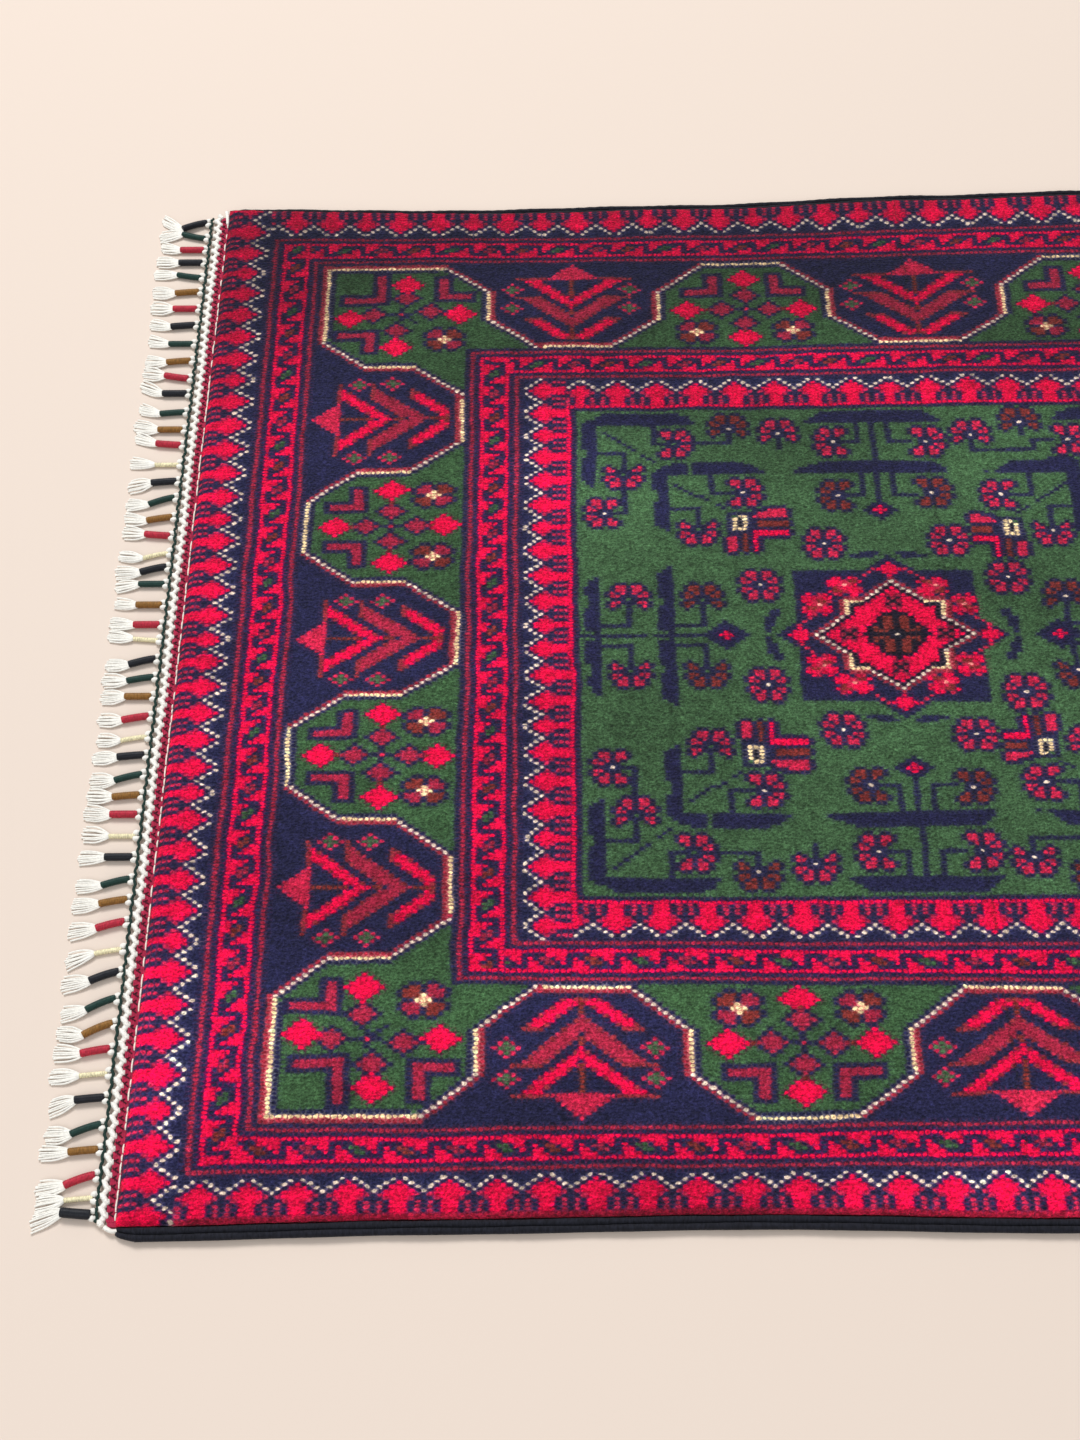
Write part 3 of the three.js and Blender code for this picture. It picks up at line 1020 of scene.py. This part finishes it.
def pile_section(name, first, last, corners, colours, material):
    """Columns first to last of the pile, one face to a knot, closed underneath."""
    cols, rows = last - first + 2, ROWS + 2
    piece = grid_piece(name, cols, rows)
    mesh = piece.data
    close_rim()
    grid = points_of(mesh)
    col = np.rint((grid[:, 0] + 0.5) * cols).astype(int)
    row = np.rint((grid[:, 1] + 0.5) * rows).astype(int)
    middles = read(mesh.polygons, "center", np.float32, 3)
    knot_col = np.clip(np.floor((middles[:, 0] + 0.5) * cols).astype(int) - 1, 0, last - first - 1) + first
    knot_row = np.clip(np.floor((middles[:, 1] + 0.5) * rows).astype(int) - 1, 0, ROWS - 1)
    skirt = (col == 0) | (col == cols) | (row == 0) | (row == rows)
    at = (np.clip(col - 1, 0, last - first) + first, np.clip(row - 1, 0, ROWS))
    points = np.stack([corners[axis][at] for axis in range(3)], 1)
    points[skirt, 2] = PILE_FOOT
    move_points(mesh, points * MM)
    face_outward()
    totals = read(mesh.polygons, "loop_total")
    ends = read(mesh.loops, "vertex_index")
    paint(mesh, "Yarn", np.repeat(colours[knot_col, knot_row], totals, axis=0))
    paint(mesh, "Around", mingled_colours(colours)[at][ends])
    mesh.color_attributes.active_color = mesh.color_attributes["Yarn"]
    map_knots(mesh, points, ends, totals)
    mesh.materials.append(material)
    bpy.ops.object.shade_smooth()
    return piece


# Painted light and shade: brightness of the pile's colours at five places across the rug, from its near side
# to its far side, a little lighter near and darkest at the far side.
PAINTED_SHADE_ACROSS = (1.04, 1.04, 1.03, 0.97, 0.8)


def tufted_colours(yarns, seed, jitter, mottle):
    """Each knot's colour from the pattern: uneven at random, partly as hand-dyed wool and partly as painted
    shade of soft waves, and with painted shade that darkens it towards the far side.
    """
    rng = np.random.default_rng(seed)
    palette = np.array([getattr(yarns, YARN_NAMES[letter]) for letter in LETTERS])
    codes = assemble()
    light = 1 + rng.normal(0, jitter, codes.shape)
    # random mottling in three sizes: partly uneven dye, partly painted shade standing in for soft waves in
    # the pile
    for share, pitch in ((1.0, 24), (0.6, 7), (1.6, 40)):
        light += share * mottle * soft_noise(rng, COLS, ROWS, pitch)
    # painted light and shade: a little lighter at the near side, darkest at the far side
    light *= np.interp(np.arange(ROWS), np.linspace(0, ROWS - 1, len(PAINTED_SHADE_ACROSS)), PAINTED_SHADE_ACROSS)
    return np.clip(palette[codes] * light[..., None], 0.01, 1).astype(np.float32)


# Ends. A reach is a distance in mm beyond the end of the pile.

# One digit for each tassel: the step to the next, over 10 mm, and its neck's and its fan's lean.
TASSEL_STEPS = "035565566758545554544555452674246745746747686745326"
NECK_LEANS = "7525255411243436665354464376663374256765685656586691"
FAN_LEANS = "3314224420112335665344454376643475236977985766576767"
NECK_YARNS = "KCRBG" * 8 + "KRBG" * 2 + "KRGK"
TASSELS = len(NECK_YARNS)
FIRST_TASSEL = -388.7
HEADING_REACH = 8.0
THREAD_REACH = 12.3
KNOT_REACH = 12.7
NECK_REACH = 15.7
FAN_REACH = 32.8
HEADING_ENDS = (-395.0, 383.0)
NECK_RADIUS = {"K": 2.5, "C": 1.6, "R": 2.45, "B": 2.35, "G": 2.25}


def tassel_place(k):
    """Where a tassel starts across the rug."""
    return FIRST_TASSEL + sum(10 + int(step) for step in TASSEL_STEPS[:k])


def neck_lean(k):
    """How far across a tassel's neck leans."""
    return 1.5 * (int(NECK_LEANS[k]) - 6)


def fan_lean(k):
    """How far across the tips of a tassel's strands lie from its root."""
    return 2.0 * (int(FAN_LEANS[k]) - 5)


def outward(side, reach, across):
    """Place along the rug of points beyond an end. The tips lie more nearly square than the pile's end."""
    at_knots = np.clip((reach - 8) / 6, 0, 1)
    at_tips = np.clip((reach - 16) / 30, 0, 1)
    inset = end_line(across) * (1 - 0.3 * at_knots - 0.2 * at_tips)
    return side * (PILE_MIDDLE + reach - inset)


def end_run(side, reach, across, up, radius):
    """A run of points beyond an end. Each value is one number or one to a point."""
    reach, across, up, radius = np.broadcast_arrays(reach, across, up, radius)
    return np.c_[outward(side, reach, across), across, up, radius]


def heading_runs(side):
    """The white plait, as a thick yarn that zigzags, and the loops that close it at both corners."""
    start, end = HEADING_ENDS
    turns = round((end - start) / 7.6)
    t = np.arange(turns * 10 + 1) / 10
    across = start + (end - start) * t / turns + 0.5 * np.sin(0.21 * t)
    swing = np.sin(2 * np.pi * t)
    reach = HEADING_REACH + 2.2 * swing + 0.3 * np.sin(0.37 * t)
    across = across + 1.3 * np.sin(4 * np.pi * t)
    up = 2.2 + 0.35 * np.cos(2 * np.pi * t)
    run = end_run(side, reach, across, up, 1.7 + 0.12 * np.sin(1.3 * t))
    t = np.linspace(0, 1, 7)
    rise = np.sin(np.pi * t)
    across = start - 0.8 - 2.4 * np.sin(2.2 * t)
    near = end_run(side, 6.4 - 6.6 * t, across, 2.2 + 0.6 * rise, 1.45 - 0.3 * t)
    far = end_run(side, 1.2 + 1.6 * t * t, end - 9 + 12.5 * t, 2.9 + 0.4 * rise, 1.1 + 0.4 * t)
    return [run, near, far]


def weft_runs(side):
    """Rows of red weft over the flat weave, beaded where they cross the warps."""
    across = np.arange(-393.0, 381.5, 1.3)
    runs = []
    for k, reach in enumerate((0.7, 1.9, 3.1, 4.3, 5.5)):
        bead = np.where((np.arange(len(across)) + k) % 2, 0.82, 0.6)
        runs.append(end_run(side, reach + 0.15 * np.sin(0.4 * across + k), across, 2.1, bead))
    return runs


def slant_runs(side):
    """Dark slanting stitches over the flat weave."""
    t = np.linspace(0, 1, 4)
    up = 2.75 + 0.3 * np.sin(np.pi * t)
    runs = []
    for place in np.arange(-390.0, 378.0, 5.1):
        lean = 2.4 + 0.5 * np.sin(place)
        for shift, share, first, last in ((0.0, 1, 2.0, 5.4), (1.7, 0.5, 4.9, 2.9)):
            across = place + shift + lean * t * share
            runs.append(end_run(side, first + (last - first) * t, across, up, 0.42))
    return runs


def stitch_runs(side, rng):
    """White stitches along the foot of the pile."""
    runs = []
    place = -392.0
    while place < 372:
        length = rng.uniform(2.5, 8.5)
        t = np.linspace(0, 1, 5)
        lift = 2.6 + 0.9 * np.sin(np.pi * t)
        reach = 0.9 + rng.uniform(-0.25, 0.25)
        runs.append(end_run(side, reach, place + length * t, lift, 0.45 + 0.15 * np.sin(np.pi * t)))
        place += length + (rng.uniform(0.3, 1.2) if rng.random() < 0.7 else rng.uniform(3, 9))
    return runs


def thread_runs(side):
    """The dark green thread along the outer side of the plait."""
    across = np.linspace(HEADING_ENDS[0] + 2, HEADING_ENDS[1] - 3, 640)
    reach = THREAD_REACH + 0.55 * np.sin(across * 0.97) + 0.3 * np.sin(across * 0.31)
    up = 3.0 + 0.4 * np.sin(across * 1.9)
    return [end_run(side, reach, across, up, 0.95 + 0.15 * np.sin(across * 2.6))]


def knot_runs(side):
    """Two round lobes side by side at the root of each tassel."""
    runs = []
    t = np.linspace(0, 1, 7)
    swell = np.sin(np.pi * t) ** 0.55
    for k in range(TASSELS):
        for lobe in (-1, 1):
            across = tassel_place(k) + lobe * (0.9 + 1.2 * swell) + neck_lean(k) * 0.12 * t
            runs.append(end_run(side, KNOT_REACH + 3.9 * t, across, 2.2, 0.7 + 1.25 * swell))
    return runs


def neck_run(side, k):
    """A tassel's wrapped neck. The first one is thicker, and the last one rises."""
    t = np.linspace(0, 1, 31)
    ridge = np.where(np.arange(31) % 2, 0.0, 0.2)
    radius = NECK_RADIUS[NECK_YARNS[k]] + (0.5 if k == 0 else 0)
    taper = 0.3 * np.clip(1 - t / 0.06, 0, 1) + 0.3 * np.clip((t - 0.94) / 0.06, 0, 1)
    across = tassel_place(k) + neck_lean(k) * t ** 1.35
    reach = NECK_REACH + (FAN_REACH - NECK_REACH) * t
    rise = 1.2 * t if k == TASSELS - 1 else 0
    return end_run(side, reach, across, radius + rise, radius - ridge - taper)


# Loose strands in a tassel.
STRANDS = 8


def fan_runs(side, rng, length, thickness):
    """The loose strands of each tassel, bundled at the neck and spread out towards the tips."""
    runs = []
    t = np.linspace(0, 1, 9)
    for k in range(TASSELS):
        tip = FAN_REACH + length + rng.uniform(-1.3, 1.3)
        half = rng.uniform(5.0, 6.6)
        root = tassel_place(k) + neck_lean(k)
        turn = fan_lean(k) - neck_lean(k)
        narrow = 0.75 * NECK_RADIUS[NECK_YARNS[k]]
        belly = rng.uniform(0.2, 1.3)
        start = FAN_REACH - 1.0
        for strand in range(STRANDS):
            spread = (strand + 0.5) / STRANDS * 2 - 1
            stop = tip - 2.2 * spread * spread + rng.uniform(-0.8, 0.4)
            width = narrow + (half - narrow) * t ** 0.6 + belly * np.sin(np.pi * t) ** 2
            curl = rng.uniform(-0.5, 0.5) * t + rng.uniform(-0.35, 0.35) * np.sin(np.pi * t)
            across = root + turn * t ** 1.1 + spread * width + curl
            low = thickness + 0.15 + 0.9 * (strand % 2) * np.sin(np.pi * t) ** 0.5
            up = (2.6 - 0.9 * spread * spread) * (1 - t) ** 1.5 + low * (1 - (1 - t) ** 1.5)
            runs.append(end_run(side, start + (stop - start) * t, across, up, thickness * (1 - 0.15 * t)))
    return runs


# Settings

def size_setting(label, what, value):
    """A length in metres that the panel shows."""
    return bpy.props.FloatProperty(name=label, description=what, default=value, min=0.0, unit="LENGTH")


def colour_setting(label, what, *display):
    """A colour that the panel shows, from display values up to 255."""
    return bpy.props.FloatVectorProperty(name=label, description=what, default=[v / 255 for v in display],
                                         min=0.0, max=1.0, subtype="COLOR_GAMMA")


class RugSizes(bpy.types.PropertyGroup):
    """Sizes of the rug's pieces."""

    pile_height: size_setting("Pile height", "Top of the pile over the floor", 0.009)
    ground: size_setting("Ground", "Thickness of the woven ground", 0.0025)
    flat_weave: size_setting("Flat weave", "Length of the flat weave at each end", 0.0052)
    cord_height: size_setting("Side cord height", "Top of the side cords over the floor", 0.0058)
    fan_length: size_setting("Fan length", "Length of the loose strands of a tassel", 0.0159)
    strand: size_setting("Strand radius", "Half the thickness of a loose strand", 0.0007)
    seed: bpy.props.IntProperty(name="Seed", description="Start of the uneven hand work", default=11,
                                subtype="UNSIGNED")


class RugYarns(bpy.types.PropertyGroup):
    """Colours of the pile's yarns."""

    navy: colour_setting("Navy", "Navy of the borders and outlines", 31, 31, 60)
    crimson: colour_setting("Crimson", "Main red", 216, 4, 58)
    rose: colour_setting("Rose", "Lighter red of the figures", 186, 30, 63)
    madder: colour_setting("Madder", "Deeper red of the lines", 146, 30, 54)
    pink: colour_setting("Pink", "Pink of the prongs and tree feet", 176, 30, 66)
    green: colour_setting("Green", "Green of the border lobes", 51, 78, 49)
    moss: colour_setting("Moss", "Green of the field", 58, 86, 56)
    ivory: colour_setting("Ivory", "Ivory of the outlines", 232, 200, 150)
    white: colour_setting("White", "White of the dots", 206, 184, 164)
    brown: colour_setting("Brown", "Red brown", 114, 40, 36)
    black: colour_setting("Black", "Near black", 20, 19, 32)
    edge: colour_setting("Edge", "Red of the outermost knots", 166, 26, 54)
    rust: colour_setting("Rust", "Dull red beside the ivory", 138, 34, 50)
    russet: colour_setting("Russet", "Brown red of the tree edges", 128, 38, 46)
    blush: colour_setting("Blush", "Wool of the hearts of the small flowers", 226, 128, 120)


class EndColours(bpy.types.PropertyGroup):
    """Colours of the sides and ends."""

    side_cord: colour_setting("Side cord", "Overcast wool of the sides", 24, 25, 33)
    flat_weave: colour_setting("Flat weave", "Wool of the ground and its flat weave", 162, 38, 68)
    slant: colour_setting("Slant", "Dark stitches over the flat weave", 70, 20, 34)
    cotton: colour_setting("Cotton", "Heading, knots and strands", 236, 233, 225)
    stitch: colour_setting("Stitches", "Cotton stitches along the foot of the pile", 236, 224, 212)
    thread: colour_setting("Thread", "Thread along the heading", 30, 52, 46)
    neck_black: colour_setting("Black neck", "Wool of the black necks", 28, 30, 36)
    neck_cream: colour_setting("Cream neck", "Wool of the cream necks", 228, 218, 178)
    neck_red: colour_setting("Red neck", "Wool of the red necks", 172, 40, 58)
    neck_brown: colour_setting("Brown neck", "Wool of the brown necks", 132, 92, 42)
    neck_green: colour_setting("Green neck", "Wool of the green necks", 28, 56, 50)


# Operators

GROUND_STEPS = 60


class RUG_OT_foundation(bpy.types.Operator):
    """Weave the ground that carries the pile, with its flat weave at each end."""

    bl_idname = "rug.foundation"
    bl_label = "Foundation"

    def execute(self, context):
        sizes = context.scene.rug_sizes
        beyond = sizes.flat_weave / MM
        stations = np.linspace(-beyond, PILE_LENGTH + beyond, GROUND_STEPS + 1)
        piece = grid_piece("foundation", GROUND_STEPS, 8)
        grid = points_of(piece.data)
        along = stations[np.rint((grid[:, 0] + 0.5) * GROUND_STEPS).astype(int)]
        near = edge_at(np.clip(along, 0, PILE_LENGTH), 1) + CORD_ROOM_NEAR + 0.2
        far = edge_at(np.clip(along, 0, PILE_LENGTH), 2) - CORD_ROOM_NEAR - 0.2
        across = near + (far - near) * (grid[:, 1] + 0.5)
        move_points(piece.data, np.c_[skewed(along, across), across, 0 * along] * MM)
        bpy.ops.object.mode_set(mode="EDIT")
        bpy.ops.mesh.select_all(action="SELECT")
        bpy.ops.mesh.extrude_region_move(TRANSFORM_OT_translate={"value": (0, 0, sizes.ground)})
        bpy.ops.object.mode_set(mode="OBJECT")
        face_outward()
        piece.data.materials.append(spun_yarn("ground_wool", context.scene.rug_ends.flat_weave))
        finish_piece(piece, "pile", "rug_body")
        return {"FINISHED"}


class RUG_OT_pile(bpy.types.Operator):
    """Knot the pile, one face to a knot, in sections along the rug."""

    bl_idname = "rug.pile"
    bl_label = "Pile"

    def execute(self, context):
        sizes = context.scene.rug_sizes
        corners = knot_corners(sizes.seed, sizes.pile_height / MM)
        colours = tufted_colours(context.scene.rug_yarns, sizes.seed + 1, jitter=0.075, mottle=0.045)
        material = pile_wool()
        cuts = np.rint(np.linspace(0, COLS, SECTIONS + 1)).astype(int)
        for k in range(SECTIONS):
            piece = pile_section(f"pile_{k + 1}", cuts[k], cuts[k + 1], corners, colours, material)
            finish_piece(piece, "pile")
        return {"FINISHED"}


# Places in mm of a side's two cords in from the edge, with their radii, and how high they are as made.
CORDS = ((2.0, 1.95), (5.8, 2.1))
CORD_TOP = 0.0044
CORD_LIFT = 0.0002


def cord_section(along, side, place, radius):
    """One of a side's two cords. Its ends taper and bend inward."""
    inward = 1 if side == 1 else -1
    from_end = np.minimum(along, PILE_LENGTH - along)
    taper = np.clip(from_end / 11, 0, 1) ** 0.5
    bend = (1 - taper) * (4.6 - 0.4 * place) if side == 1 else 0.6 * sunk(along)
    across = edge_at(along, side) + inward * (place + bend)
    thick = radius * (0.45 + 0.55 * taper) + 0.1 * np.sin(along * 0.11 + place) + 0.06 * np.sin(along * 0.73)
    return np.c_[skewed(along, across), across, thick, thick]


class RUG_OT_side_cords(bpy.types.Operator):
    """Overcast the two sides."""

    bl_idname = "rug.side_cords"
    bl_label = "Side cords"

    def execute(self, context):
        scene = context.scene
        material = spun_yarn("side_cord_wool", scene.rug_ends.side_cord, scale=620.0, stretch=(1.7, 0.5, 0.5),
                             low=0.6, high=1.55, bump=0.0009)
        along = np.r_[np.linspace(0.3, 12, 14), np.linspace(16, PILE_LENGTH - 16, 740),
                      np.linspace(PILE_LENGTH - 12, PILE_LENGTH - 0.3, 14)]
        for side, name in ((1, "near"), (2, "far")):
            runs = [cord_section(along, side, place, radius) for place, radius in CORDS]
            piece = yarn_piece(f"side_cord_{name}", runs, 8, material)
            points = points_of(piece.data)
            scale = scene.rug_sizes.cord_height / CORD_TOP
            points[:, 2] = CORD_LIFT + np.clip(points[:, 2], 0, None) * scale
            move_points(piece.data, points)
            finish_piece(piece, "side_cord", f"selvedge_{name}")
        return {"FINISHED"}


class RUG_OT_end_cords(bpy.types.Operator):
    """Lay the red wefts, the white stitches, the heading plait and the green thread along each end."""

    bl_idname = "rug.end_cords"
    bl_label = "End cords"

    def execute(self, context):
        scene = context.scene
        ends = scene.rug_ends
        cotton = spun_yarn("heading_cotton", ends.cotton)
        thread = spun_yarn("green_thread", ends.thread)
        weft = spun_yarn("weft_wool", ends.flat_weave, scale=600.0, low=0.6, high=1.3)
        dark = spun_yarn("slant_wool", ends.slant)
        stitch = spun_yarn("stitch_cotton", ends.stitch)
        for side, name in ((-1, "left"), (1, "right")):
            rng = np.random.default_rng(scene.rug_sizes.seed + 20 + side)
            heading = yarn_piece(f"heading_{name}", heading_runs(side), 8, cotton)
            finish_piece(heading, "fringe_cotton", f"fringe_{name}")
            for piece in (yarn_piece(f"locking_thread_{name}", thread_runs(side), 6, thread),
                          yarn_piece(f"stitches_{name}", stitch_runs(side, rng), 6, stitch)):
                finish_piece(piece, "fringe_cotton")
            slant = yarn_piece(f"slant_{name}", slant_runs(side), 6, dark)
            weave = yarn_piece(f"wefts_{name}", weft_runs(side), 6, weft)
            finish_piece(joined([weave, slant], f"flat_weave_{name}"), "pile")
        return {"FINISHED"}


NECK_WOOLS = {"K": "black", "C": "cream", "R": "red", "B": "brown", "G": "green"}


class RUG_OT_tassels(bpy.types.Operator):
    """Tie the knots, wind the necks and spread the strands of the tassels."""

    bl_idname = "rug.tassels"
    bl_label = "Tassels"

    def execute(self, context):
        scene = context.scene
        ends = scene.rug_ends
        sizes = scene.rug_sizes
        cotton = spun_yarn("tassel_cotton", ends.cotton, scale=700.0, low=0.88, high=1.06, bump=0.0003)
        wools = {}
        for letter, word in NECK_WOOLS.items():
            wools[letter] = spun_yarn(f"neck_wool_{word}", getattr(ends, f"neck_{word}"), scale=1100.0,
                                      stretch=(1.6, 0.5, 0.5), low=0.62, high=1.3, roughness=0.42)
        for side, name in ((-1, "left"), (1, "right")):
            rng = np.random.default_rng(sizes.seed + 40 + side)
            knots = yarn_piece(f"tassel_knots_{name}", knot_runs(side), 8, cotton)
            finish_piece(knots, "fringe_cotton")
            necks = []
            for letter, wool in wools.items():
                runs = [neck_run(side, k) for k in range(TASSELS) if NECK_YARNS[k] == letter]
                necks.append(yarn_piece(f"neck_{letter}", runs, 10, wool))
            finish_piece(joined(necks, f"tassel_necks_{name}"), "fringe_cotton")
            strands = fan_runs(side, rng, sizes.fan_length / MM, sizes.strand / MM)
            finish_piece(yarn_piece(f"tassel_strands_{name}", strands, 6, cotton), "fringe_cotton")
        return {"FINISHED"}


FLOOR_COLOUR = (0.84, 0.78, 0.73)
LIGHTS = (
    # name, place, size, power
    ("key_light", (-2.2, 2.4, 3.5), 1.5, 158),
    ("fill_light", (-1.8, -2.2, 2.0), 2.0, 33),
)
CAMERA_PLACE = (-1.2740, -0.8141, 1.1394)
CAMERA_TILT = 33.331
CAMERA_TURN = -0.386
CAMERA_LENS = 54.07


class RUG_OT_stage(bpy.types.Operator):
    """Set the floor, the light and the camera."""

    bl_idname = "rug.stage"
    bl_label = "Stage"

    def execute(self, context):
        scene = context.scene
        deselect()
        bpy.ops.mesh.primitive_plane_add(size=30, location=(0, 0, 0))
        floor = context.object
        floor.name = "floor"
        material, nodes, links, surface = shader_base("floor_paint", 0.7)
        surface.inputs["Base Color"].default_value = linear(FLOOR_COLOUR)
        floor.data.materials.append(material)
        for name, place, size, power in LIGHTS:
            bpy.ops.object.light_add(type="AREA", location=place)
            light = context.object
            light.name = name
            light.data.size = size
            light.data.energy = power
            light.rotation_euler = (-light.location).to_track_quat("-Z", "Y").to_euler()
        world = bpy.data.worlds.new("studio")
        world.use_nodes = True
        background = world.node_tree.nodes["Background"]
        background.inputs["Color"].default_value = (0.95, 0.97, 1.0, 1)
        background.inputs["Strength"].default_value = 0.5
        scene.world = world
        scene.view_settings.view_transform = "Standard"
        turn = (math.radians(CAMERA_TILT), 0, math.radians(CAMERA_TURN))
        bpy.ops.object.camera_add(location=CAMERA_PLACE, rotation=turn)
        camera = context.object
        camera.data.lens = CAMERA_LENS
        scene.camera = camera
        return {"FINISHED"}


class RUG_PT_parts(bpy.types.Panel):
    """The rug's settings and the steps that make it."""

    bl_label = "Runner rug"
    bl_idname = "RUG_PT_parts"
    bl_space_type = "VIEW_3D"
    bl_region_type = "UI"
    bl_category = "Rug"

    def draw(self, context):
        for group in (context.scene.rug_sizes, context.scene.rug_yarns, context.scene.rug_ends):
            for setting in group.bl_rna.properties:
                if setting.identifier not in ("rna_type", "name"):
                    self.layout.prop(group, setting.identifier)
        for operator in OPERATORS:
            self.layout.operator(operator.bl_idname)


OPERATORS = (RUG_OT_foundation, RUG_OT_pile, RUG_OT_side_cords, RUG_OT_end_cords, RUG_OT_tassels,
             RUG_OT_stage)
CLASSES = (RugSizes, RugYarns, EndColours, *OPERATORS, RUG_PT_parts)


def register():
    for cls in CLASSES:
        bpy.utils.register_class(cls)
    bpy.types.Scene.rug_sizes = bpy.props.PointerProperty(type=RugSizes)
    bpy.types.Scene.rug_yarns = bpy.props.PointerProperty(type=RugYarns)
    bpy.types.Scene.rug_ends = bpy.props.PointerProperty(type=EndColours)


def unregister():
    del bpy.types.Scene.rug_ends
    del bpy.types.Scene.rug_yarns
    del bpy.types.Scene.rug_sizes
    for cls in reversed(CLASSES):
        bpy.utils.unregister_class(cls)


def main():
    register()
    bpy.ops.rug.foundation()
    bpy.ops.rug.pile()
    bpy.ops.rug.side_cords()
    bpy.ops.rug.end_cords()
    bpy.ops.rug.tassels()
    bpy.ops.rug.stage()


if __name__ == "__main__":
    main()
